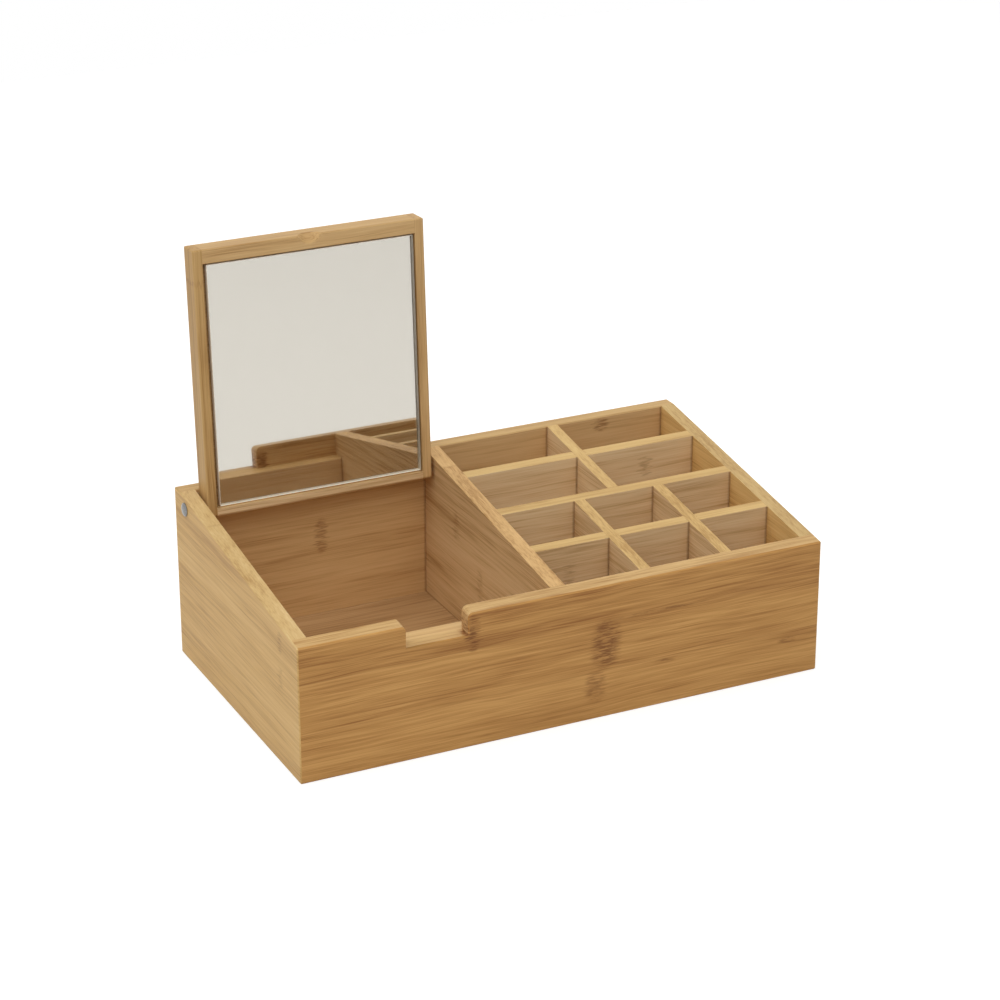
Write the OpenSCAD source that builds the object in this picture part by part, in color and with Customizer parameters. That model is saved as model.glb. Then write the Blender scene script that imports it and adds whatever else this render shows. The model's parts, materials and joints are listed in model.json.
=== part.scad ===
// Desktop vanity organiser in bamboo board: an open bin under a hinged mirror lid on the left, and ten
// small cells on the right. All the boards' tops lie in one plane that slopes down to the front.
// Origin on the table under the middle of the box, X to the right, Y to the back, Z up, in millimetres.
// The named places are counted from the box's front left corner, and from_corner() moves each piece.

/* [Box] */
// Width of the box
box_w = 280; // [250:5:340]
// Depth of the box
box_d = 159; // [150:1:190]
// Height of the front panel
front_h = 70; // [66:1:78]
// Height of the back panel
back_h = 91; // [86:1:100]
// Thickness of the outer boards, the compartment divider and the lid rest
board_t = 8; // [7:0.5:10]
// Thickness of the base panel
base_t = 6; // [4:0.5:8]
// Height of the base panel's underside above the table
base_lift = 4; // [2:0.5:6]
// Depth of the groove that holds the base panel's edge
groove_depth = 4; // [2:0.5:5]

/* [Cells] */
// Inner width of the bin under the lid
bin_w = 125.5; // [100:0.5:140]
// Thickness of the thin partition boards
partition_t = 6; // [4:0.5:8]
// Width of a cell in the two right-hand front columns
front_cell_w = 39; // [26:1:44]
// Width of a cell in the right-hand rear column
rear_cell_w = 62; // [44:1:74]
// Depth of the cells in the first row, counted from the front
row_one_d = 31.5; // [24:0.5:36]
// Depth of the cells in the second row
row_two_d = 31.5; // [24:0.5:36]
// Depth of the cells in the rear row
rear_row_d = 28.5; // [24:0.5:34]

/* [Finger notch] */
// Width of the notch in the front panel
notch_w = 32; // [20:1:60]
// Depth of the notch below the front panel's top, and so of the lid rest
notch_depth = 11; // [9:0.5:14]
// Radius that rounds the notch's upper corners
notch_r = 2.5; // [1:0.5:4]

/* [Lid] */
// Thickness of the lid
lid_t = 12; // [10:0.5:14]
// Length of the lid below its hinge axis
lid_tail = 5; // [4:0.5:5.5]
// Gap between the lid and the wall on either side
lid_side_gap = 1.75; // [0.5:0.25:3]
// Lean of the open lid past upright, in degrees
lid_lean = 3.2; // [0:0.1:8]
// Depth of the hinge axis below the back panel's top
hinge_drop = 6.8; // [6:0.1:9]
// Radius on the lid's rear lower edge, with which it swings past the back panel
heel_r = 4; // [3.5:0.5:5]
// How far the closed lid's front edge lies on the lid rest
rest_lap = 1.5; // [1:0.5:5]
// Gap between the lid and what stops it at either end of its swing
stop_gap = 0.3; // [0.1:0.1:1]
// Width of the side bars of the lid's frame
stile_w = 5; // [4.5:0.5:12]
// Width of the frame's bar at the free edge
top_rail_w = 7.25; // [6:0.25:14]
// Width of the frame's bar at the hinge edge
bottom_rail_w = 4.5; // [3.5:0.5:10]
// Width of the half-moon finger scoop at the free edge
scoop_w = 13; // [8:1:20]
// Height of the finger scoop on the lid's face
scoop_h = 4.5; // [3:0.5:6]

/* [Mirror] */
// Thickness of the mirror glass
glass_t = 3; // [2:0.5:4]
// Gap between the mirror glass and the lid's frame all round
glass_gap = 0.75; // [0.25:0.25:1.5]
// Depth of the glass below the face of the lid's frame
glass_recess = 0.6; // [0:0.1:1.5]
// Thickness of the adhesive sheet behind the glass
adhesive_t = 1; // [0.5:0.5:1.5]
// Distance of the adhesive sheet's edge inside the glass's edge
adhesive_inset = 5; // [2:1:15]

/* [Hinge pins] */
// Diameter of a pin's shank
pin_d = 4; // [3:0.5:5]
// Diameter of a pin's domed head
head_d = 7; // [6:0.5:9]
// Height of the domed head
head_h = 1.5; // [1:0.25:2.5]
// Length of a pin inside the lid's side bar
pin_reach = 4; // [2:0.5:4.5]
// Radial running clearance of a pin in the lid
pin_clearance = 0.05; // [0.02:0.01:0.1]

/* [Hidden] */
// Slack on each side of a board that is let into another
joint_fit = 0.1;
// Extra length of a cut past the faces that it opens
cut_over = 1;
// Depth of a pin's hole in the lid past the pin's tip
pin_tip_gap = 0.5;
// Number of sides that draws a round form
round_fn = 48;

inner_back_y = box_d - board_t;
right_wall_x = box_w - board_t;
floor_z = base_lift + base_t;
rim_slope = (back_h - front_h) / inner_back_y;
bin_right_x = board_t + bin_w;
cells_left_x = bin_right_x + board_t;

front_bar_y = board_t + row_one_d;
middle_bar_y = front_bar_y + partition_t + row_two_d;
rear_bar_y = inner_back_y - rear_row_d - partition_t;
right_column_x = right_wall_x - front_cell_w - partition_t;
left_column_x = right_column_x - front_cell_w - partition_t;
rear_column_x = right_wall_x - rear_cell_w - partition_t;

notch_x = board_t + (bin_w - notch_w) / 2;
rest_z = front_h - notch_depth;
rest_back_y = 2 * board_t;

half_lid = lid_t / 2;
lid_w = bin_w - 2 * lid_side_gap;
lid_x = board_t + lid_side_gap;
hinge_z = back_h - hinge_drop;
hinge_y = inner_back_y - (half_lid + stop_gap + hinge_drop * sin(lid_lean)) / cos(lid_lean);
closed_run = hinge_y - (rest_back_y - rest_lap);
closed_fall = hinge_z - (rest_z + stop_gap);
lid_reach = sqrt(pow(closed_run, 2) + pow(closed_fall, 2) - pow(half_lid, 2));
closed_slope = atan2(closed_fall, closed_run) - atan2(half_lid, lid_reach);
lid_travel = 90 + lid_lean + closed_slope;

glass_face = half_lid - glass_recess;
glass_back = glass_face - glass_t;
panel_face = glass_back - adhesive_t;
opening_low = bottom_rail_w - lid_tail;
opening_high = lid_reach - top_rail_w;
pin_len = board_t + lid_side_gap + pin_reach;

// Hinge axis from the front left corner, the lid's swing in degrees, and its length above the axis
echo(hinge_y = hinge_y, hinge_z = hinge_z, lid_travel = lid_travel, lid_reach = lid_reach);

// Moves a piece from the box's front left corner to the part's origin
module from_corner() {
    translate([-box_w / 2, -box_d / 2, 0]) children();
}

// Height of the sloping rim at a distance from the front
function rim_z(y) = front_h + y * rim_slope;

// Height at which two crossing partitions are halved into each other
function lap_z(y) = (floor_z + rim_z(y)) / 2;

// Outline drawn in Y and Z, given its width along X
module along_x(x, w) {
    translate([x, 0, 0]) rotate([90, 0, 90]) linear_extrude(w) children();
}

// Board whose top lies in the sloping rim plane
module sloped_board(x, w, y_front, y_back, z) {
    along_x(x, w)
        polygon([[y_front, z], [y_back, z], [y_back, rim_z(y_back)], [y_front, rim_z(y_front)]]);
}

// Groove round the box's inside that holds the base panel
module base_groove() {
    translate([board_t - groove_depth, board_t - groove_depth, base_lift - joint_fit])
        cube([
            box_w - 2 * (board_t - groove_depth),
            box_d - 2 * (board_t - groove_depth),
            base_t + 2 * joint_fit
        ]);
}

// Finger notch through the front panel, with rounded upper corners
module finger_notch() {
    translate([0, board_t + cut_over, 0]) rotate([90, 0, 0]) linear_extrude(board_t + 2 * cut_over) {
        translate([notch_x, rest_z]) square([notch_w, notch_depth + board_t]);
        for (side = [0, 1]) {
            corner_x = notch_x + side * notch_w;
            difference() {
                translate([corner_x - notch_r, front_h - notch_r]) square([2 * notch_r, notch_r + board_t]);
                translate([corner_x + (2 * side - 1) * notch_r, front_h - notch_r])
                    circle(notch_r, $fn = round_fn);
            }
        }
    }
}

// Half-lap cut in a crossbar, open at its top
module crossbar_lap(x, y) {
    translate([x - joint_fit, y - cut_over, lap_z(y)])
        cube([partition_t + 2 * joint_fit, partition_t + 2 * cut_over, back_h]);
}

// Half-lap cut in a column divider, open at its foot
module column_lap(x, y) {
    translate([x - cut_over, y - joint_fit, floor_z - cut_over])
        cube([partition_t + 2 * cut_over, partition_t + 2 * joint_fit, lap_z(y) - floor_z + cut_over]);
}

module crossbar(y) {
    sloped_board(cells_left_x, right_wall_x - cells_left_x, y, y + partition_t, floor_z);
}

// Hole along X on the hinge axis
module hinge_hole(x, w, r) {
    translate([x, hinge_y, hinge_z]) rotate([0, 90, 0]) cylinder(h = w, r = r, $fn = round_fn);
}

// Places the lid's own frame, Y from the hinge axis to its mirror face and Z up to its free edge
module on_open_lid() {
    translate([0, hinge_y, hinge_z]) rotate([-lid_lean, 0, 0]) mirror([0, 1, 0]) children();
}

// Side view of the lid between two heights, with the heel's radius at its lower end
module lid_outline(low, high) {
    heel_z = heel_r - lid_tail;
    heel_y = heel_r - half_lid;
    intersection() {
        translate([-half_lid, low]) square([lid_t, high - low]);
        union() {
            translate([-half_lid, heel_z]) square([lid_t, lid_reach - heel_z]);
            translate([heel_y, -lid_tail]) square([lid_t - heel_r, heel_r]);
            translate([heel_y, heel_z]) circle(heel_r, $fn = round_fn);
        }
    }
}

// Side bar of the lid's frame, bored from its outer side for the hinge pin
module lid_stile(x, bore_x) {
    difference() {
        on_open_lid() along_x(x, stile_w) lid_outline(-lid_tail, lid_reach);
        hinge_hole(bore_x, pin_reach + pin_tip_gap + cut_over, pin_d / 2 + pin_clearance);
    }
}

// Bar of the lid's frame between the stiles
module lid_rail(low, high) {
    on_open_lid() along_x(lid_x + stile_w, lid_w - 2 * stile_w) lid_outline(low, high);
}

// Ball-shaped cut that leaves a half-moon in the free edge
module finger_scoop() {
    face_r = (pow(scoop_w / 2, 2) + pow(scoop_h, 2)) / (2 * scoop_h);
    offset_out = face_r - scoop_h;
    on_open_lid() translate([lid_x + lid_w / 2, half_lid + offset_out, lid_reach + offset_out])
        sphere(sqrt(pow(face_r, 2) + pow(offset_out, 2)), $fn = round_fn);
}

// Flat sheet in the lid's opening, inset from the frame, between two depths from the axis
module lid_sheet(inset, back, face) {
    on_open_lid() translate([lid_x + stile_w + inset, back, opening_low + inset])
        cube([
            lid_w - 2 * (stile_w + inset),
            face - back,
            opening_high - opening_low - 2 * inset
        ]);
}

// Domed pin on the hinge axis, its head against the wall's outer face, pointing along turn
module pivot_pin(x, turn) {
    dome_r = (pow(head_d / 2, 2) + pow(head_h, 2)) / (2 * head_h);
    color("silver") from_corner() translate([x, hinge_y, hinge_z]) rotate([0, turn, 0]) {
        cylinder(h = pin_len, d = pin_d, $fn = round_fn);
        intersection() {
            translate([0, 0, dome_r - head_h]) sphere(dome_r, $fn = round_fn);
            translate([0, 0, -head_h]) cylinder(h = head_h, d = head_d, $fn = round_fn);
        }
    }
}

module front_panel() {
    color("peru") from_corner() difference() {
        sloped_board(0, box_w, 0, board_t, 0);
        base_groove();
        finger_notch();
    }
}

module back_panel() {
    color("peru") from_corner() difference() {
        translate([0, inner_back_y, 0]) cube([box_w, board_t, back_h]);
        base_groove();
    }
}

module left_side_panel() {
    color("burlywood") from_corner() difference() {
        sloped_board(0, board_t, board_t, inner_back_y, 0);
        base_groove();
        hinge_hole(-cut_over, board_t + 2 * cut_over, pin_d / 2);
    }
}

module right_side_panel() {
    color("burlywood") from_corner() difference() {
        sloped_board(right_wall_x, board_t, board_t, inner_back_y, 0);
        base_groove();
    }
}

module compartment_divider() {
    color("burlywood") from_corner() difference() {
        sloped_board(bin_right_x, board_t, board_t, inner_back_y, floor_z);
        hinge_hole(bin_right_x - cut_over, board_t + 2 * cut_over, pin_d / 2);
    }
}

module base_panel() {
    edge = board_t - groove_depth + joint_fit;
    color("sienna") from_corner() translate([edge, edge, base_lift])
        cube([box_w - 2 * edge, box_d - 2 * edge, base_t]);
}

module lid_rest_board() {
    color("tan") from_corner() translate([board_t, board_t, floor_z])
        cube([bin_w, rest_back_y - board_t, rest_z - floor_z]);
}

module rear_crossbar() {
    color("tan") from_corner() difference() {
        crossbar(rear_bar_y);
        crossbar_lap(rear_column_x, rear_bar_y);
    }
}

module middle_crossbar() {
    color("tan") from_corner() crossbar(middle_bar_y);
}

module front_crossbar() {
    color("tan") from_corner() difference() {
        crossbar(front_bar_y);
        for (x = [left_column_x, right_column_x]) crossbar_lap(x, front_bar_y);
    }
}

module rear_column_divider() {
    color("wheat") from_corner() difference() {
        sloped_board(rear_column_x, partition_t, middle_bar_y + partition_t, inner_back_y, floor_z);
        column_lap(rear_column_x, rear_bar_y);
    }
}

module left_column_divider() {
    color("wheat") from_corner() difference() {
        sloped_board(left_column_x, partition_t, board_t, middle_bar_y, floor_z);
        column_lap(left_column_x, front_bar_y);
    }
}

module right_column_divider() {
    color("wheat") from_corner() difference() {
        sloped_board(right_column_x, partition_t, board_t, middle_bar_y, floor_z);
        column_lap(right_column_x, front_bar_y);
    }
}

module lid_left_stile() {
    color("burlywood") from_corner() lid_stile(lid_x, lid_x - cut_over);
}

module lid_right_stile() {
    right_x = lid_x + lid_w;
    color("burlywood") from_corner() lid_stile(right_x - stile_w, right_x - pin_reach - pin_tip_gap);
}

module lid_top_rail() {
    color("burlywood") from_corner() difference() {
        lid_rail(opening_high, lid_reach);
        finger_scoop();
    }
}

module lid_bottom_rail() {
    color("burlywood") from_corner() lid_rail(-lid_tail, opening_low);
}

module lid_back_panel() {
    color("peru") from_corner() lid_sheet(0, -half_lid, panel_face);
}

module mirror_glass() {
    color("lightgray") from_corner() lid_sheet(glass_gap, glass_back, glass_face);
}

module mirror_adhesive() {
    color("white") from_corner() lid_sheet(glass_gap + adhesive_inset, panel_face, glass_back);
}

module left_pivot_pin() {
    pivot_pin(0, 90);
}

module right_pivot_pin() {
    pivot_pin(cells_left_x, -90);
}

front_panel();
back_panel();
left_side_panel();
right_side_panel();
compartment_divider();
base_panel();
lid_rest_board();
rear_crossbar();
middle_crossbar();
front_crossbar();
rear_column_divider();
left_column_divider();
right_column_divider();
lid_left_stile();
lid_right_stile();
lid_top_rail();
lid_bottom_rail();
lid_back_panel();
mirror_glass();
mirror_adhesive();
left_pivot_pin();
right_pivot_pin();
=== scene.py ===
import json
import math

import bmesh
import bpy
from mathutils import Matrix, Vector


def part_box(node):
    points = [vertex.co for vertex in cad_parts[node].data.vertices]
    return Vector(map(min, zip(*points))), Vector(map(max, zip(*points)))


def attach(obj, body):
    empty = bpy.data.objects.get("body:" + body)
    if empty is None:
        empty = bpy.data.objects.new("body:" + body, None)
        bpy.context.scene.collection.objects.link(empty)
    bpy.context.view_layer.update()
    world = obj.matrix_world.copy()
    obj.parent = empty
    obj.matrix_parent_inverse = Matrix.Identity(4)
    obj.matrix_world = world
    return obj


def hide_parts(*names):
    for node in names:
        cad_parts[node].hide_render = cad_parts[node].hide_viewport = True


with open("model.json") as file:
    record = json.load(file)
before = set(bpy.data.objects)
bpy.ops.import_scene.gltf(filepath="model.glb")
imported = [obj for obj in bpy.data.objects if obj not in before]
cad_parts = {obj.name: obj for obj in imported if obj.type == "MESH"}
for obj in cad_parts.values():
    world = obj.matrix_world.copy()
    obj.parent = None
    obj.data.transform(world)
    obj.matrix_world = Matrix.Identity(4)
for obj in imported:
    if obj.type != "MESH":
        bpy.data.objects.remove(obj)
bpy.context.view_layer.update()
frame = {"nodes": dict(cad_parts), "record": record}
nodes = frame["nodes"]
millimetre = 0.001
print("Loaded", len(nodes), "nodes of the organiser")


# Camera

cameraLook = {
    "azimuth": 25.946,  # degrees that the view turns from straight ahead towards +X
    "elevation": 22.887,  # degrees that it looks down
    "lens": 106.79,  # millimetres on a 36 mm sensor
    "sensor": 36.0,
    "target": (0.0, 0.0045, 0.042),  # a point in the middle of the box
    "targetRight": -0.0036,  # where the target lies from the view's axis
    "targetUp": -0.04086,
    "distance": 1.49143,  # from the camera to the target, along the axis
}


def addCamera(look):
    turn, drop = math.radians(look["azimuth"]), math.radians(look["elevation"])
    ahead = Vector((math.sin(turn) * math.cos(drop), math.cos(turn) * math.cos(drop), -math.sin(drop)))
    side = Vector((math.cos(turn), -math.sin(turn), 0))
    above = side.cross(ahead)
    place = Vector(look["target"]) - side * look["targetRight"] - above * look["targetUp"]
    place -= ahead * look["distance"]
    data = bpy.data.cameras.new("studioCamera")
    data.lens = look["lens"]
    data.sensor_width = look["sensor"]
    camera = bpy.data.objects.new("studioCamera", data)
    camera.matrix_world = Matrix.Translation(place) @ Matrix((side, above, -ahead)).transposed().to_4x4()
    bpy.context.scene.collection.objects.link(camera)
    bpy.context.scene.camera = camera


addCamera(cameraLook)
print("Placed the camera")


# Shader helpers

def addNode(tree, kind, inputs=None, **settings):
    node = tree.nodes.new(kind)
    for name, value in settings.items():
        setattr(node, name, value)
    for name, value in (inputs or {}).items():
        if isinstance(value, bpy.types.NodeSocket):
            tree.links.new(value, node.inputs[name])
        else:
            node.inputs[name].default_value = value
    return node


def calc(tree, operation, *values, clamp=False):
    inputs = {index: value for index, value in enumerate(values)}
    return addNode(tree, "ShaderNodeMath", inputs, operation=operation, use_clamp=clamp).outputs[0]


# carries a value from one range to another along a soft step
def ramp(tree, value, low, high, start=0.0, end=1.0):
    inputs = {"Value": value, "From Min": low, "From Max": high, "To Min": start, "To Max": end}
    node = addNode(tree, "ShaderNodeMapRange", inputs, interpolation_type="SMOOTHSTEP")
    return node.outputs["Result"]


def noise(tree, vector, detail=2.0, roughness=0.5):
    inputs = {"Vector": vector, "Scale": 1.0, "Detail": detail, "Roughness": roughness}
    return addNode(tree, "ShaderNodeTexNoise", inputs, noise_dimensions="3D").outputs["Fac"]


def join(tree, x, y, z):
    return addNode(tree, "ShaderNodeCombineXYZ", {"X": x, "Y": y, "Z": z}).outputs[0]


def mixColour(tree, factor, first, second, blend="MIX"):
    node = addNode(tree, "ShaderNodeMix", data_type="RGBA", blend_type=blend)
    for index, value in ((0, factor), (6, first), (7, second)):
        if isinstance(value, bpy.types.NodeSocket):
            tree.links.new(value, node.inputs[index])
        else:
            node.inputs[index].default_value = value
    return node.outputs[2]


# a colour as on a screen, 0 to 255, turned into the linear one that a shader takes
def paint(red, green, blue):
    shares = [value / 255 for value in (red, green, blue)]
    return [s / 12.92 if s <= 0.04045 else ((s + 0.055) / 1.055) ** 2.4 for s in shares] + [1.0]


# Bamboo

tones = {
    "honey": {  # the front panel's outer face
        "light": paint(214, 163, 98), "main": paint(195, 144, 82), "dark": paint(156, 104, 54)},
    "straw": {  # the back panel and the front panel's inner side
        "light": paint(219, 184, 134), "main": paint(208, 170, 119), "dark": paint(172, 130, 80)},
    "pale": {  # side boards
        "light": paint(225, 188, 126), "main": paint(215, 175, 111), "dark": paint(186, 143, 84)},
    "sand": {  # thin partitions, the lid rest and the bottom of the mirror's frame
        "light": paint(231, 203, 160), "main": paint(221, 189, 144), "dark": paint(188, 151, 104)},
    "lid": {  # the mirror's frame
        "light": paint(215, 181, 130), "main": paint(204, 167, 115), "dark": paint(174, 135, 86)},
    "amber": {  # the left side of the mirror's frame
        "light": paint(204, 169, 115), "main": paint(193, 155, 100), "dark": paint(163, 123, 72)},
    "tan": {  # the compartment divider
        "light": paint(219, 187, 142), "main": paint(208, 174, 127), "dark": paint(172, 134, 88)},
    "chestnut": {  # the bottom
        "light": paint(194, 158, 114), "main": paint(180, 143, 99), "dark": paint(152, 114, 74)},
}
# the dark colour of the cane's nodes, also used for the painted shade in the joints
knotAndJointShadeColour = paint(116, 70, 36)

bambooLook = {  # lengths in millimetres
    "fibreThickness": 0.45,
    "fibreLength": 22.0,
    "fibreShare": 0.75,  # how much each kind of line adds to the shading
    "streakThickness": 1.5,
    "streakLength": 64.0,
    "streakShare": 1.0,
    "bandThickness": 9.0,
    "bandLength": 120.0,
    "bandShare": 0.7,
    "stripContrast": 0.2,  # how much the glued strips differ, unless a board says otherwise
    "stripApart": 900.0,  # how far apart along the cane two strips can come from
    "waveLength": 70.0,
    "waveHeight": 3.2,
    "darker": (0.06, -0.44),  # the shading over which the main tone turns into the dark one
    "lighter": (-0.04, 0.4),  # and into the light one
    "skinEdge": 0.2,  # half the depth over which an outer layer ends
    "glueReach": 0.22,
    "glueDepth": 0.35,
    "jointShadeReach": 1.3,
    "jointShadeCore": 0.2,
    "jointShadeDepth": 0.45,  # how dark the painted shade in a joint is, from 0 to 1
    "dashSize": (5.0, 0.9, 3.0),  # the dashes in a cane's node: along, across and through
    "dashInk": (0.4, 0.62),  # the noise over which a dash turns dark
    "ragged": 13.0,  # how far the rows of dashes stand out of line
    "rowHeight": 1.3,
    "patchEdge": (1.2, 0.1),  # where a patch of dashes ends and where it is full, from its middle
    "halo": 0.45,  # how dark a patch is between its dashes
    "dashSink": 0.6,
    "endEdge": 0.15,
    "roughness": 0.47,
    "roughnessSpread": 0.16,
    "relief": 0.05,
    "bump": 0.35,
    "refraction": 1.46,
    "specular": 0.25,
}

# the boards that stand against the front of each cross board
cornerBoards = {
    "back_panel": ["compartment_divider", "rear_column_divider", "right_side_panel"],
    "rear_crossbar": ["rear_column_divider", "right_side_panel"],
    "middle_crossbar": ["left_column_divider", "right_column_divider", "right_side_panel"],
    "front_crossbar": ["left_column_divider", "right_column_divider", "right_side_panel"],
}
# each line where two boards meet in an inner corner, for a dark joint line and painted shade along it: the
# boards, its places on two axes, and its top
shadedJointLines = [((cross, side), {"X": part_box(side)[0].x, "Y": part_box(cross)[0].y}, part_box(cross)[1].z)
              for cross, sides in cornerBoards.items() for side in sides]
dividerLow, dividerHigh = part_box("compartment_divider")
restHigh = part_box("lid_rest_board")[1]
shadedJointLines += [
    (("compartment_divider", "lid_rest_board"), {"X": dividerLow.x, "Y": restHigh.y}, restHigh.z),
    (("compartment_divider",), {"X": dividerLow.x, "Z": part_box("base_panel")[1].z}, dividerHigh.z),
]


# the colour, the height and the streaks of a board's grain
def drawGrain(tree, look, place):
    grain = bambooLook
    tone = tones[look["tone"]]
    placed = addNode(tree, "ShaderNodeMapping", {"Vector": place, "Rotation": (look.get("lean", 0.0), 0, 0),
                                                 "Scale": (1 / millimetre,) * 3})
    parts = addNode(tree, "ShaderNodeSeparateXYZ", {"Vector": placed.outputs[0]}).outputs
    along, across, through = [parts[axis] for axis in look["axes"]]
    fromStart = calc(tree, "SUBTRACT", across, look["stripStart"])

    # strips that the board is glued up from, each with its own piece of cane
    strip = calc(tree, "FLOOR", calc(tree, "DIVIDE", fromStart, look["stripWidth"]))
    draw = addNode(tree, "ShaderNodeTexWhiteNoise", {"W": calc(tree, "ADD", strip, look["seed"])},
                   noise_dimensions="1D")
    lots = addNode(tree, "ShaderNodeSeparateColor", {"Color": draw.outputs["Color"]}).outputs
    run = calc(tree, "MULTIPLY_ADD", draw.outputs["Value"], grain["stripApart"], along)

    # slow waves carry the fibres up and down along the board
    waveAt = join(tree, calc(tree, "DIVIDE", run, grain["waveLength"]),
                  calc(tree, "DIVIDE", across, grain["waveLength"] / 3), look["seed"] * 0.37)
    sway = calc(tree, "SUBTRACT", noise(tree, waveAt, detail=1.0), 0.5)
    level = calc(tree, "MULTIPLY_ADD", sway, grain["waveHeight"], across)

    def lines(kind, detail, roughness=0.5):
        length, thickness = grain[kind + "Length"], grain[kind + "Thickness"]
        at = join(tree, calc(tree, "DIVIDE", run, length), calc(tree, "DIVIDE", level, thickness),
                  calc(tree, "DIVIDE", through, thickness))
        return noise(tree, at, detail, roughness)

    fine, streak, band = lines("fibre", 1.0), lines("streak", 2.0, 0.6), lines("band", 1.0)
    shade = 0.0
    for value, share in (
            (fine, grain["fibreShare"]), (streak, grain["streakShare"]), (band, grain["bandShare"]),
            (lots["Red"], look.get("stripContrast", grain["stripContrast"]))):
        shade = calc(tree, "MULTIPLY_ADD", calc(tree, "SUBTRACT", value, 0.5), share, shade)
    shade = calc(tree, "MULTIPLY", shade, look.get("contrast", 1.0))
    darkPart = ramp(tree, shade, *grain["darker"])
    lightPart = ramp(tree, shade, *grain["lighter"])

    def shaded(base):
        lit = mixColour(tree, lightPart, base["main"], base["light"])
        return mixColour(tree, darkPart, lit, base["dark"])

    colour, patchTone = shaded(tone), tone
    if "skin" in look:  # an outer layer of another tone
        patchTone = tones[look["skin"]["tone"]]
        depth, edge = look["skin"]["depth"], grain["skinEdge"]
        colour = mixColour(tree, ramp(tree, through, depth + edge, depth - edge), colour, shaded(patchTone))

    # fine glue lines between the strips
    away = calc(tree, "ABSOLUTE", calc(tree, "PINGPONG", fromStart, look["stripWidth"] / 2))
    glue = ramp(tree, away, grain["glueReach"], 0.0, 0.0, grain["glueDepth"])
    colour = mixColour(tree, glue, colour, tone["dark"])

    # painted shade: faces that look up are darkened by a colour factor, to hold back the light that falls on
    # them from above
    upward = addNode(tree, "ShaderNodeAttribute", attribute_name="upward").outputs["Fac"]
    if "paintedTopShade" in look:
        topShaded = mixColour(tree, 1.0, colour, (*look["paintedTopShade"], 1.0), "MULTIPLY")
        colour = mixColour(tree, upward, colour, topShaded)

    # the cane's nodes: short dark dashes in a ragged patch across one strip
    row = noise(tree, join(tree, look["seed"], calc(tree, "DIVIDE", across, grain["rowHeight"]), 0.0), 1.0)
    ragged = calc(tree, "MULTIPLY_ADD", calc(tree, "SUBTRACT", row, 0.5), grain["ragged"], along)
    dashAt = [calc(tree, "DIVIDE", value, size)
              for value, size in zip((ragged, across, through), grain["dashSize"])]
    inked = ramp(tree, noise(tree, join(tree, *dashAt), 2.0, 0.6), *grain["dashInk"])
    relief = calc(tree, "MULTIPLY_ADD", fine, 0.5, calc(tree, "MULTIPLY", streak, 0.5))
    for atAlong, atAcross, length, height, strength in look.get("marks", []):
        offsets = [calc(tree, "DIVIDE", calc(tree, "SUBTRACT", value, middle), size / 2)
                   for value, middle, size in ((ragged, atAlong, length), (across, atAcross, height))]
        powers = [calc(tree, "POWER", calc(tree, "ABSOLUTE", offset), power)
                  for offset, power in zip(offsets, (2.0, 4.0))]
        patch = ramp(tree, calc(tree, "ADD", *powers), *grain["patchEdge"])
        depth = calc(tree, "MULTIPLY", calc(tree, "MULTIPLY", inked, patch), strength, clamp=True)
        halo = calc(tree, "MULTIPLY", patch, strength * grain["halo"], clamp=True)
        colour = mixColour(tree, halo, colour, patchTone["dark"])
        colour = mixColour(tree, depth, colour, knotAndJointShadeColour)
        relief = calc(tree, "MULTIPLY_ADD", depth, -grain["dashSink"], relief)

    # dark joint lines with painted shade in the inner corner, where a neighbour's face stands against this
    # one, kept off the faces that look up
    for members, corner, top in shadedJointLines:
        if look.get("node") in members:
            offsets = [calc(tree, "SUBTRACT", parts[axis], at / millimetre) for axis, at in corner.items()]
            offsets.append(calc(tree, "MAXIMUM", calc(tree, "SUBTRACT", parts["Z"], top / millimetre), 0.0))
            first, second, third = [calc(tree, "MULTIPLY", offset, offset) for offset in offsets]
            near = calc(tree, "SQRT", calc(tree, "ADD", calc(tree, "ADD", first, second), third))
            cornerShade = ramp(tree, near, grain["jointShadeReach"], grain["jointShadeCore"], 0.0, grain["jointShadeDepth"])
            cornerShade = calc(tree, "MULTIPLY", cornerShade, calc(tree, "SUBTRACT", 1.0, upward))
            colour = mixColour(tree, cornerShade, colour, knotAndJointShadeColour)

    # the end grain is finished like the face of the board beside it
    if "ends" in look:
        ended, _, _ = drawGrain(tree, look["ends"], place)
        reach, edge = look["ends"]["reach"], grain["endEdge"]
        endPart = ramp(tree, calc(tree, "ABSOLUTE", parts["X"]), reach - edge, reach + edge)
        colour = mixColour(tree, endPart, colour, ended)
    return colour, relief, streak


def makeBamboo(look):
    grain = bambooLook
    material = bpy.data.materials.new("bamboo-" + look["piece"])
    material.use_nodes = True
    tree = material.node_tree
    shader = tree.nodes["Principled BSDF"]
    place = addNode(tree, "ShaderNodeTexCoord").outputs["Object"]
    colour, relief, streak = drawGrain(tree, look, place)
    tree.links.new(colour, shader.inputs["Base Color"])
    rough = calc(tree, "MULTIPLY_ADD", calc(tree, "SUBTRACT", streak, 0.5), grain["roughnessSpread"],
                 grain["roughness"])
    tree.links.new(rough, shader.inputs["Roughness"])
    bump = addNode(tree, "ShaderNodeBump", {
        "Strength": grain["bump"], "Distance": grain["relief"] * millimetre, "Height": relief})
    tree.links.new(bump.outputs["Normal"], shader.inputs["Normal"])
    shader.inputs["IOR"].default_value = grain["refraction"]
    shader.inputs["Specular IOR Level"].default_value = grain["specular"]
    return material


# Boards

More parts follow.
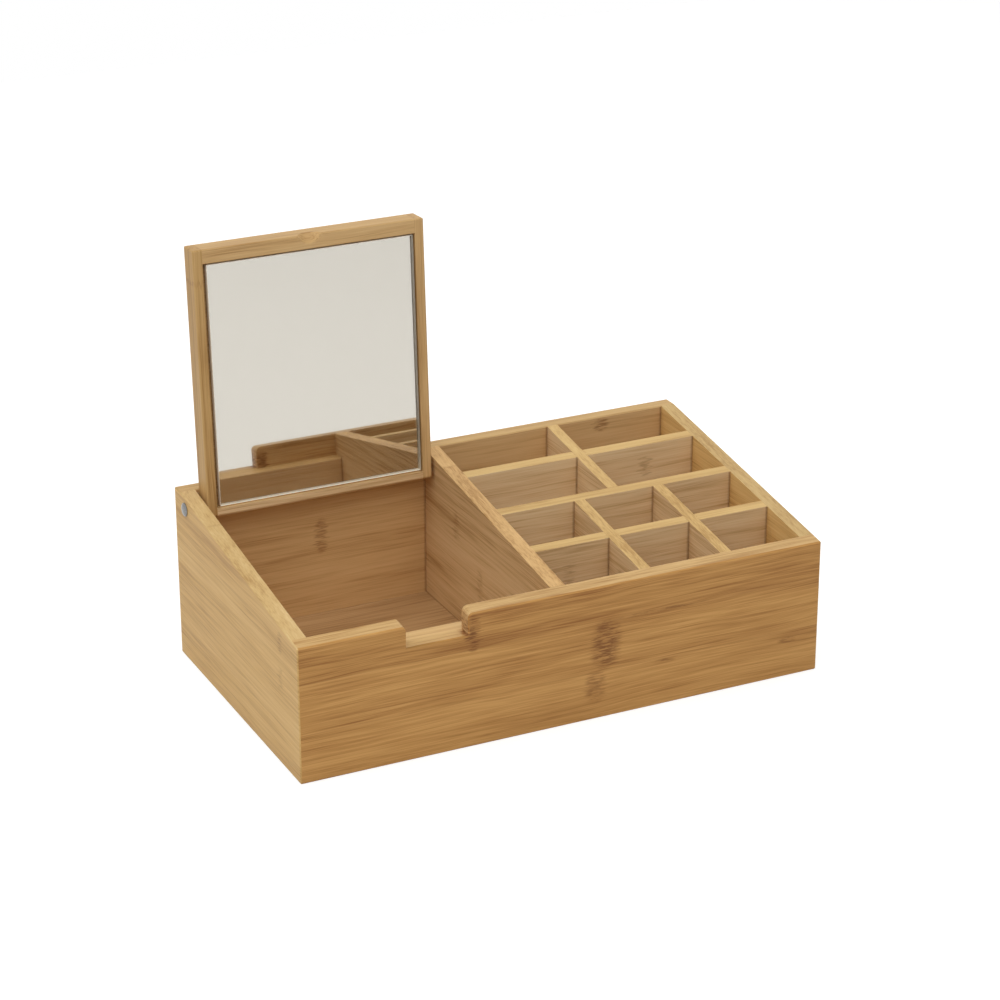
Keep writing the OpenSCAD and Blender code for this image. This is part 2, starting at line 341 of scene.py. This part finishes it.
boardEdges = {
    "outer": 0.8 * millimetre,  # radius of the arrises round the outside
    "inner": 0.25 * millimetre,  # radius of the eased edges inside
    "heel": 1.6 * millimetre,  # radius of the lid's lower edge in front
    "segments": 4,
    "sharpAngle": 20.0,  # degrees from which an edge is a real corner
    "weld": 0.001 * millimetre,
    "touch": 0.15 * millimetre,  # pieces nearer than this are joined
    "flush": 0.02 * millimetre,  # points nearer than this to a plane lie in it
    "flat": 0.5,  # degrees up to which faces are one flat face
    "facing": 0.99,  # the cosine from which a direction counts as a plane's own
    "topShadeRange": (0.3, 0.8),  # how far a face has to look up to take the painted top shade
}
bodyNodes = frame["record"]["behaviour"]["bodies"]


# the mirror's face is the largest of the glass's faces that look forward
forwardFaces = [face for face in nodes["mirror_glass"].data.polygons if face.normal.y < -0.5]
mirrorNormal = max(forwardFaces, key=lambda face: face.area).normal.normalized()
lidLean = math.atan2(mirrorNormal.z, -mirrorNormal.y)  # how far the open lid leans back
lidBack = -mirrorNormal
lidUp = Vector((1, 0, 0)).cross(lidBack)

sideLow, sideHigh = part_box("left_side_panel")
frontLow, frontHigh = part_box("front_panel")
rimSlope = (sideHigh.z - frontHigh.z) / (sideHigh.y - frontHigh.y)
rimNormal = Vector((0, -rimSlope, 1)).normalized()

bodyAxes = {
    "box": (Vector((1, 0, 0)), Vector((0, 1, 0)), Vector((0, 0, 1))),
    "lid": (Vector((1, 0, 0)), lidBack, lidUp),
}


# planes that bound all the nodes of a body, each as its direction and how far out it lies
def outsidePlanes(body, extra=()):
    directions = [sign * axis for axis in bodyAxes[body] for sign in (1, -1)] + list(extra)
    members = [name for name in bodyNodes[body] if not name.endswith("pivot_pin")]
    points = [vertex.co for name in members for vertex in nodes[name].data.vertices]
    return [(direction, max(direction.dot(point) for point in points)) for direction in directions]


bodyPlanes = {"box": outsidePlanes("box", [rimNormal]), "lid": outsidePlanes("lid")}


# lowest and highest place of a node along each axis of its body
def spanOf(nodeName, body):
    points = [vertex.co for vertex in nodes[nodeName].data.vertices]
    return [(min(axis.dot(p) for p in points), max(axis.dot(p) for p in points)) for axis in bodyAxes[body]]


def inside(point, span, body, slack):
    return all(low - slack <= axis.dot(point) <= high + slack
               for axis, (low, high) in zip(bodyAxes[body], span))


def onlySelect(*pieces):
    bpy.ops.object.select_all(action="DESELECT")
    for piece in pieces:
        piece.select_set(True)
    bpy.context.view_layer.objects.active = pieces[0]


# a welded copy of a node's mesh, with its flat faces whole again, but parted through a bore
def copyNode(nodeName, pieceName, body=None, bore=None):
    piece = bpy.data.objects.new(pieceName, nodes[nodeName].data.copy())
    piece.data.materials.clear()
    bpy.context.scene.collection.objects.link(piece)
    onlySelect(piece)
    bpy.ops.object.mode_set(mode="EDIT")
    bpy.ops.mesh.select_all(action="SELECT")
    bpy.ops.mesh.customdata_custom_splitnormals_clear()
    bpy.ops.mesh.remove_doubles(threshold=boardEdges["weld"])
    if bore:
        low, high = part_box(bore)
        bpy.ops.mesh.bisect(plane_co=(low + high) / 2, plane_no=bodyAxes[body][1 if body == "box" else 2])
        bpy.ops.mesh.mark_seam()
        bpy.ops.mesh.select_all(action="SELECT")
    bpy.ops.mesh.dissolve_limited(angle_limit=math.radians(boardEdges["flat"]), delimit={"SEAM"})
    bpy.ops.object.mode_set(mode="OBJECT")
    return piece


# cuts the faces where a neighbour begins and ends, so that an edge can stop at a joint
def cutAtJoints(piece, nodeName, body, neighbours):
    own = spanOf(nodeName, body)
    cuts = set()
    for index in (0, 2) if body == "lid" else (0, 1):
        places = [place for span in neighbours for place in span[index]]
        low, high = own[index]
        cuts |= {(index, round(place, 6)) for place in places
                 if low + boardEdges["touch"] < place < high - boardEdges["touch"]}
    onlySelect(piece)
    bpy.ops.object.mode_set(mode="EDIT")
    for index, place in sorted(cuts):
        axis = bodyAxes[body][index]
        bpy.ops.mesh.select_all(action="SELECT")
        bpy.ops.mesh.bisect(plane_co=axis * place, plane_no=axis)
    bpy.ops.object.mode_set(mode="OBJECT")


# spans of the wooden pieces of a body that touch a node
def neighboursOf(nodeName, body):
    own, slack = spanOf(nodeName, body), boardEdges["touch"]
    spans = []
    for name in bodyNodes[body]:
        span = spanOf(name, body)
        near = all(low <= ownHigh + slack and ownLow <= high + slack
                   for (low, high), (ownLow, ownHigh) in zip(span, own))
        if name != nodeName and near and not name.endswith(("pivot_pin", "mirror_glass", "mirror_adhesive")):
            spans.append(span)
    return spans


# rounds the outer arrises, eases the inner edges and leaves the glued joints and bores sharp
def easeEdges(piece, nodeName, body, bore=None):
    neighbours = neighboursOf(nodeName, body)
    bored = [spanOf(bore, body)] if bore else []
    sharp = math.radians(boardEdges["sharpAngle"])
    cutAtJoints(piece, nodeName, body, neighbours)
    shape = bmesh.new()
    shape.from_mesh(piece.data)
    weights = shape.edges.layers.float.new("bevel_weight_edge")
    for edge in shape.edges:
        if edge.calc_face_angle_signed(0.0) < sharp:
            continue  # flat, or an inside corner
        ends = [vertex.co for vertex in edge.verts]
        middle = (ends[0] + ends[1]) / 2
        if any(inside(middle, span, body, boardEdges["touch"]) for span in neighbours + bored):
            continue
        touching = [direction for direction, reach in bodyPlanes[body]
                    if all(abs(direction.dot(end) - reach) < boardEdges["flush"] for end in ends)]
        followed = touching and (touching[0].y < -0.9 if body == "box" else abs(touching[0].x) > 0.9)
        lowest = body == "lid" and any(direction.dot(lidUp) < -boardEdges["facing"] for direction in touching)
        if lowest and any(direction.dot(mirrorNormal) > boardEdges["facing"] for direction in touching):
            radius = boardEdges["heel"]
        elif len(touching) > 1 or followed:
            radius = boardEdges["outer"]  # also round the notch in the front and the heel of the lid
        else:
            radius = boardEdges["inner"]
        edge[weights] = radius / boardEdges["heel"]
    shape.to_mesh(piece.data)
    shape.free()
    onlySelect(piece)
    bpy.ops.object.shade_smooth_by_angle(angle=sharp)
    bevel = piece.modifiers.new("arris", "BEVEL")
    bevel.width = boardEdges["heel"]
    bevel.segments = boardEdges["segments"]
    bevel.limit_method = "WEIGHT"
    bevel.use_clamp_overlap = False
    bevel.harden_normals = True  # the flat faces stay flat beside the rounded arrises
    bpy.ops.object.modifier_apply(modifier=bevel.name)


# notes on each face how far it looks up, for the painted shade on the tops and to keep the joint shade off
# them
def noteUpward(piece, body):
    low, high = boardEdges["topShadeRange"]
    upward = piece.data.attributes.new("upward", "FLOAT", "FACE")
    for face in piece.data.polygons:
        share = (face.normal.dot(bodyAxes[body][2]) - low) / (high - low)
        upward.data[face.index].value = min(1.0, max(0.0, share))


# lifts the notch's rounded corners to the sloping rim, so that no step is left behind them
def meetRim(piece, look):
    front = frontLow.y
    top = max(vertex.co.z for vertex in piece.data.vertices if vertex.co.y < front + boardEdges["flush"])
    for vertex in piece.data.vertices:
        share = (vertex.co.z - top) / look["notchRound"] + 1
        if 0 < share < 1 + boardEdges["flush"]:
            vertex.co.z += share * rimSlope * (vertex.co.y - front)
    onlySelect(piece)
    bpy.ops.object.mode_set(mode="EDIT")
    bpy.ops.mesh.select_all(action="SELECT")
    bpy.ops.mesh.remove_doubles(threshold=boardEdges["flush"])
    bpy.ops.mesh.dissolve_limited(angle_limit=math.radians(boardEdges["flat"]))
    bpy.ops.object.mode_set(mode="OBJECT")


# applies what is live, closes doubles, and shades smooth up to an angle
def finishShape(piece, smoothAngle):
    onlySelect(piece)
    for modifier in list(piece.modifiers):
        bpy.ops.object.modifier_apply(modifier=modifier.name)
    bpy.ops.object.mode_set(mode="EDIT")
    bpy.ops.mesh.select_all(action="SELECT")
    bpy.ops.mesh.remove_doubles(threshold=boardEdges["weld"])
    bpy.ops.object.mode_set(mode="OBJECT")
    bpy.ops.object.shade_smooth_by_angle(angle=math.radians(smoothAngle))
    weighted = piece.modifiers.new("evenShading", "WEIGHTED_NORMAL")
    weighted.keep_sharp = True
    bpy.ops.object.modifier_apply(modifier=weighted.name)


def dress(piece, material, body, slot, *nodeNames):
    piece.data.materials.append(material)
    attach(piece, body)
    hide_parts(*nodeNames)


def makeBoard(look):
    piece = copyNode(look["node"], look["piece"], look["body"], look.get("bore"))
    if "notchRound" in look:
        meetRim(piece, look)
    easeEdges(piece, look["node"], look["body"], look.get("bore"))
    noteUpward(piece, look["body"])
    dress(piece, makeBamboo(look), look["body"], look["slot"], look["node"])


# the axes of a board: along its grain, across its strips, through its thickness
alongX, alongY, flatX, uprightZ = "XZY", "YZX", "XYZ", "ZXY"

# marks are the cane's nodes: each one's middle along and across the board, its length, height and strength
boxBoard = {"body": "box", "slot": "bamboo_board", "stripWidth": 26.0}
# each board's top factor darkens its faces that look up: painted shade
sideBoard = {
    **boxBoard, "tone": "pale", "paintedTopShade": (0.8, 0.86, 1.0), "axes": alongY, "stripStart": 8.0, "seed": 21.0,
}
endFinish = {**sideBoard, "reach": 139.4}  # from how far out along X a board's end has it

frontPanel = {
    **boxBoard, "node": "front_panel", "piece": "frontPanel", "notchRound": 2.5 * millimetre,
    "tone": "straw", "paintedTopShade": (0.86, 0.87, 0.8), "skin": {"tone": "honey", "depth": -78.7},
    "ends": endFinish, "axes": alongX, "stripStart": 25.0, "seed": 3.0,
    "marks": [
        (20.0, 39.0, 17.0, 27.0, 0.75),
        (14.5, 17.5, 12.0, 19.0, 0.45),
        (50.0, 51.3, 56.0, 2.0, 0.45),
        (-50.8, 59.5, 8.0, 20.0, 0.85),
        (52.5, 23.5, 13.0, 3.0, 0.5),
        (122.0, 20.0, 11.0, 3.5, 0.45),
    ],
}
backPanel = {
    **boxBoard, "node": "back_panel", "piece": "backPanel", "tone": "straw", "paintedTopShade": (0.76, 0.76, 0.66),
    "contrast": 0.7, "ends": endFinish, "axes": alongX, "stripStart": 12.0, "seed": 11.0,
    "marks": [
        (-65.0, 53.0, 7.0, 21.0, 0.45),
        (-106.0, 84.0, 4.0, 8.0, 0.4),
        (96.0, 86.5, 9.0, 8.0, 0.55),
        (30.0, 26.0, 10.0, 24.0, 0.5),
    ],
}
leftSide = {
    **sideBoard, "node": "left_side_panel", "piece": "leftSide", "bore": "left_pivot_pin",
    "marks": [(-57.5, 64.0, 5.0, 12.0, 0.35), (-57.5, 45.0, 5.0, 14.0, 0.3)],
}
rightSide = {
    **sideBoard, "node": "right_side_panel", "piece": "rightSide", "paintedTopShade": (0.72, 0.77, 0.86),
    "marks": [(22.0, 44.0, 8.0, 24.0, 0.4)],
}
divider = {
    **boxBoard, "node": "compartment_divider", "piece": "compartmentDivider", "bore": "right_pivot_pin",
    "tone": "tan", "paintedTopShade": (0.88, 0.81, 0.66), "axes": alongY, "stripStart": 10.0, "seed": 42.0,
    "marks": [(34.0, 62.0, 7.0, 16.0, 0.35), (6.0, 40.0, 7.0, 20.0, 0.25)],
}
basePanel = {
    **boxBoard, "node": "base_panel", "piece": "basePanel", "slot": "bamboo_base", "tone": "chestnut",
    "axes": flatX, "stripStart": -80.0, "stripWidth": 21.0, "seed": 55.0,
    "marks": [(-96.0, 10.0, 7.0, 20.0, 0.35), (18.0, 52.0, 7.0, 20.0, 0.35)],
}
lidRest = {
    **boxBoard, "node": "lid_rest_board", "piece": "lidRest", "tone": "sand", "paintedTopShade": (0.77, 0.7, 0.55),
    "axes": alongX, "stripStart": 12.0, "stripWidth": 24.0, "seed": 61.0,
}

crossbar = {
    "body": "box", "slot": "bamboo_partition", "tone": "sand", "paintedTopShade": (0.75, 0.7, 0.5), "axes": alongX,
    "stripStart": 9.0, "stripWidth": 24.0, "stripContrast": 0.25,
}
columnDivider = {**crossbar, "axes": alongY}
partitions = [
    {**crossbar, "node": "rear_crossbar", "piece": "rearCrossbar", "seed": 72.0,
     "marks": [(104.0, 74.0, 7.0, 12.0, 0.35)]},
    {**crossbar, "node": "middle_crossbar", "piece": "middleCrossbar", "seed": 79.0,
     "marks": [(97.0, 68.0, 7.0, 16.0, 0.35)]},
    {**crossbar, "node": "front_crossbar", "piece": "frontCrossbar", "seed": 86.0,
     "marks": [(20.0, 60.0, 6.0, 14.0, 0.3)]},
    {**columnDivider, "node": "rear_column_divider", "piece": "rearColumnDivider", "seed": 93.0,
     "marks": [(52.0, 66.0, 6.0, 14.0, 0.3)]},
    {**columnDivider, "node": "left_column_divider", "piece": "leftColumnDivider", "seed": 101.0,
     "marks": [(-52.0, 58.0, 6.0, 12.0, 0.3)]},
    {**columnDivider, "node": "right_column_divider", "piece": "rightColumnDivider", "seed": 108.0},
]

lidBar = {
    "body": "lid", "slot": "bamboo_lid", "tone": "lid", "paintedTopShade": (0.73, 0.71, 0.63), "axes": alongX,
    "lean": lidLean, "stripStart": 75.0, "stripWidth": 26.0,
}
lidBars = [
    {**lidBar, "node": "lid_top_rail", "piece": "lidTopRail", "seed": 115.0},
    {**lidBar, "node": "lid_bottom_rail", "piece": "lidBottomRail", "seed": 124.0, "tone": "sand"},
    {**lidBar, "node": "lid_left_stile", "piece": "lidLeftStile", "bore": "left_pivot_pin", "seed": 133.0,
     "tone": "amber", "axes": uprightZ, "marks": [(203.0, -128.0, 3.0, 8.0, 0.3)]},
    {**lidBar, "node": "lid_right_stile", "piece": "lidRightStile", "bore": "right_pivot_pin", "seed": 138.0,
     "axes": uprightZ},
    {**lidBar, "node": "lid_back_panel", "piece": "lidBackPanel", "seed": 144.0,
     "marks": [(-92.0, 150.0, 7.0, 24.0, 0.5), (-40.0, 112.0, 7.0, 24.0, 0.4)]},
]

for look in [frontPanel, backPanel, leftSide, rightSide, divider, basePanel, lidRest] + partitions + lidBars:
    makeBoard(look)
print("Shaped and finished the bamboo boards")


# Mirror

mirrorLook = {
    "arris": 0.2 * millimetre,
    "leftGap": 1.2 * millimetre,  # what the dark gap on the left has more than the others
    "coating": 0.08 * millimetre,  # room for the silvering and its paint before the sheet behind
    "silver": paint(214, 207, 199),
    "silverRoughness": 0.015,
    "groundEdge": paint(246, 236, 218),
    "edgeRoughness": 0.9,
    "edgeScratches": (2.0, 0.3, 2.0),
    "lowerEdgeGlow": 0.6,  # painted light: the lower edge glows, standing in for the light from above that falls through the glass on it
    "glassTint": paint(250, 253, 251),
    "refraction": 1.52,
}
adhesiveLook = {"foam": paint(232, 230, 224), "roughness": 0.9, "pores": (0.4, 0.4, 0.4)}
wearLook = {
    "worn": 0.86,  # how bright the marks are beside the rest
    "markRange": (0.35, 0.65),
    "roughRange": (0.3, 0.7),
    "rougher": 1.25,
    "smoother": 0.8,
}


def plainMaterial(name, colour, roughness, metallic=0.0):
    material = bpy.data.materials.new(name)
    material.use_nodes = True
    shader = material.node_tree.nodes["Principled BSDF"]
    shader.inputs["Base Color"].default_value = colour
    shader.inputs["Roughness"].default_value = roughness
    shader.inputs["Metallic"].default_value = metallic
    return material


# fine marks, as grinding leaves them, stretched along X, Y and Z by the lengths in millimetres
def addMarks(material, colour, lengths, roughness, look=wearLook):
    tree = material.node_tree
    shader = tree.nodes["Principled BSDF"]
    place = addNode(tree, "ShaderNodeTexCoord").outputs["Object"]
    scale = tuple(1 / (length * millimetre) for length in lengths)
    at = addNode(tree, "ShaderNodeMapping", {"Vector": place, "Scale": scale}).outputs[0]
    scratch = noise(tree, at, 3.0, 0.6)
    worn = [share * look["worn"] for share in colour[:3]] + [1.0]
    marked = mixColour(tree, ramp(tree, scratch, *look["markRange"]), worn, colour)
    rough = ramp(tree, scratch, *look["roughRange"],
                 roughness * look["rougher"], roughness * look["smoother"])
    tree.links.new(marked, shader.inputs["Base Color"])
    tree.links.new(rough, shader.inputs["Roughness"])


def makeMirror(look):
    piece = copyNode("mirror_glass", "mirrorGlass")
    clear = plainMaterial("mirrorClearGlass", look["glassTint"], 0.0)
    clearShader = clear.node_tree.nodes["Principled BSDF"]
    clearShader.inputs["Transmission Weight"].default_value = 1.0
    clearShader.inputs["IOR"].default_value = look["refraction"]
    silver = plainMaterial("mirrorSilvering", look["silver"], look["silverRoughness"], 1.0)
    edge = plainMaterial("mirrorEdge", look["groundEdge"], look["edgeRoughness"])
    lower = plainMaterial("mirrorLowerEdgePaintedGlow", look["groundEdge"], look["edgeRoughness"])
    for ground in (edge, lower):
        addMarks(ground, look["groundEdge"], look["edgeScratches"], look["edgeRoughness"])
    # painted light: the lower edge glows in its own colour
    lowerShader = lower.node_tree.nodes["Principled BSDF"]
    lowerShader.inputs["Emission Color"].default_value = look["groundEdge"]
    lowerShader.inputs["Emission Strength"].default_value = look["lowerEdgeGlow"]
    bevel = piece.modifiers.new("arris", "BEVEL")
    bevel.width = look["arris"]
    bevel.segments = 1
    backPlace = max(lidBack.dot(vertex.co) for vertex in piece.data.vertices)
    middle = sum(vertex.co.x for vertex in piece.data.vertices) / len(piece.data.vertices)
    for vertex in piece.data.vertices:
        if vertex.co.x < middle:
            vertex.co.x += look["leftGap"]
        if backPlace - lidBack.dot(vertex.co) < boardEdges["flush"]:
            vertex.co -= lidBack * look["coating"]
    finishShape(piece, boardEdges["sharpAngle"])
    dress(piece, clear, "lid", "mirror_silver", "mirror_glass")
    for material in (silver, edge, lower):
        piece.data.materials.append(material)
    sides = (mirrorNormal, -mirrorNormal, -lidUp)  # the front, the silvered back and the lower edge
    for face in piece.data.polygons:
        square = [face.normal.dot(side) > boardEdges["facing"] for side in sides]
        face.material_index = 0 if square[0] else 1 if square[1] else 3 if square[2] else 2


makeMirror(mirrorLook)
foam = plainMaterial("adhesiveFoam", adhesiveLook["foam"], adhesiveLook["roughness"])
addMarks(foam, adhesiveLook["foam"], adhesiveLook["pores"], adhesiveLook["roughness"])
nodes["mirror_adhesive"].data.materials.clear()
nodes["mirror_adhesive"].data.materials.append(foam)
print("Set the mirror in its frame")


# Hinge pins

pinLook = {
    "sides": 64,
    "shankRadius": 2.0 * millimetre,
    "rimHeight": 0.35 * millimetre,
    "domeSteps": 8,
    "smoothAngle": 40.0,
    "steel": paint(142, 141, 139),
    "roughness": 0.18,
    "polishing": (0.5, 0.5, 0.5),
}


# shank, flat underside, short rim and domed head, drawn out ring by ring along the hinge axis
def makePin(nodeName, pieceName, look, outward):
    low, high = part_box(nodeName)
    centre = (low + high) / 2
    headRadius = (high.z - low.z) / 2
    seat = sideLow.x if outward < 0 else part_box("compartment_divider")[1].x
    tip = high.x if outward < 0 else low.x
    headTop = low.x if outward < 0 else high.x
    domeHeight = abs(headTop - seat) - look["rimHeight"]
    bpy.ops.object.select_all(action="DESELECT")
    bpy.ops.mesh.primitive_circle_add(vertices=look["sides"], radius=look["shankRadius"], fill_type="NGON",
                                      location=(tip, centre.y, centre.z), rotation=(0, math.radians(90), 0))
    piece = bpy.context.object
    piece.name = pieceName
    bpy.ops.object.transform_apply(location=True, rotation=True, scale=True)
    rimTop = seat + outward * look["rimHeight"]
    rings = [(seat, look["shankRadius"]), (seat, headRadius), (rimTop, headRadius)]
    for step in range(1, look["domeSteps"]):
        angle = math.radians(90) * step / look["domeSteps"]
        rings.append((rimTop + outward * domeHeight * math.sin(angle), headRadius * math.cos(angle)))
    bpy.ops.object.mode_set(mode="EDIT")
    bpy.ops.mesh.select_all(action="SELECT")
    at, radius = tip, look["shankRadius"]
    for place, size in rings:
        bpy.ops.mesh.extrude_region_move(TRANSFORM_OT_translate={"value": (place - at, 0, 0)})
        share = size / radius
        bpy.ops.transform.resize(value=(1, share, share), center_override=(place, centre.y, centre.z))
        at, radius = place, size
    bpy.ops.mesh.select_all(action="SELECT")
    bpy.ops.mesh.normals_make_consistent(inside=False)
    bpy.ops.object.mode_set(mode="OBJECT")
    finishShape(piece, look["smoothAngle"])
    steel = plainMaterial("polishedSteel-" + pieceName, look["steel"], look["roughness"], 1.0)
    addMarks(steel, look["steel"], look["polishing"], look["roughness"])
    dress(piece, steel, "box", "pin_steel", nodeName)


makePin("left_pivot_pin", "leftPin", pinLook, -1)
makePin("right_pivot_pin", "rightPin", pinLook, 1)
print("Turned the hinge pins")


# Floor, backdrop colour and light

studioLook = {
    "floorSize": 2.4,
    "floorColour": (0.55, 0.55, 0.545, 1.0),
    "floorLift": 0.6,  # what the floor adds for the camera, so that it reads white
    "reflectedLift": 0.43,  # the same for what is seen in the mirror, where the floor is nearer
    "ambient": 0.35,
    "ambientColour": (1.0, 0.985, 0.96, 1.0),
    "lampTarget": (0, 0, 0.05),
}
lamps = [
    {"name": "keyLamp", "place": (-0.25, -0.05, 1.4), "size": 3.2, "power": 37.0},
    {"name": "fillLamp", "place": (-0.6, -1.2, 1.3), "size": 0.9, "power": 2.0},
]


# a strength for what the camera sees straight, another for what it sees mirrored or through glass,
# and none for scattered light
def seenStrength(tree, straight, reflected):
    ray = addNode(tree, "ShaderNodeLightPath").outputs
    mirrored = calc(tree, "MAXIMUM", ray["Is Glossy Ray"], ray["Is Transmission Ray"])
    return calc(tree, "MAXIMUM", calc(tree, "MULTIPLY", ray["Is Camera Ray"], straight),
                calc(tree, "MULTIPLY", mirrored, reflected))


def makeFloor(look):
    bpy.ops.object.select_all(action="DESELECT")
    bpy.ops.mesh.primitive_plane_add(size=look["floorSize"], location=(0, 0, 0))
    floor = bpy.context.object
    floor.name = "studioFloor"
    material = bpy.data.materials.new("studioFloor")
    material.use_nodes = True
    tree = material.node_tree
    shader = tree.nodes["Principled BSDF"]
    shader.inputs["Base Color"].default_value = look["floorColour"]
    shader.inputs["Roughness"].default_value = 1.0
    shader.inputs["Specular IOR Level"].default_value = 0.0
    glow = addNode(tree, "ShaderNodeEmission",
                   {"Strength": seenStrength(tree, look["floorLift"], look["reflectedLift"])})
    both = addNode(tree, "ShaderNodeAddShader", {0: shader.outputs[0], 1: glow.outputs[0]})
    tree.links.new(both.outputs[0], tree.nodes["Material Output"].inputs["Surface"])
    floor.data.materials.append(material)


def makeWorld(look):
    world = bpy.data.worlds.new("studioWorld")
    bpy.context.scene.world = world
    world.use_nodes = True
    tree = world.node_tree
    soft = tree.nodes["Background"]
    soft.inputs["Color"].default_value = look["ambientColour"]
    soft.inputs["Strength"].default_value = look["ambient"]
    white = addNode(tree, "ShaderNodeBackground", {"Color": (1, 1, 1, 1), "Strength": 1.0})
    mixed = addNode(tree, "ShaderNodeMixShader",
                    {0: seenStrength(tree, 1.0, 1.0), 1: soft.outputs[0], 2: white.outputs[0]})
    tree.links.new(mixed.outputs[0], tree.nodes["World Output"].inputs["Surface"])


# a round lamp that shines on the box but isn't seen in the mirror or the glass
def addLamp(look, target):
    data = bpy.data.lights.new(look["name"], "AREA")
    data.shape = "DISK"
    data.size = look["size"]
    data.energy = look["power"]
    lamp = bpy.data.objects.new(look["name"], data)
    lamp.location = look["place"]
    lamp.rotation_euler = (Vector(target) - Vector(look["place"])).to_track_quat("-Z", "Y").to_euler()
    lamp.visible_glossy = False
    lamp.visible_transmission = False
    bpy.context.scene.collection.objects.link(lamp)


makeFloor(studioLook)
makeWorld(studioLook)
for lampLook in lamps:
    addLamp(lampLook, studioLook["lampTarget"])
bpy.context.scene.view_settings.view_transform = "Standard"
print("Lit the studio")
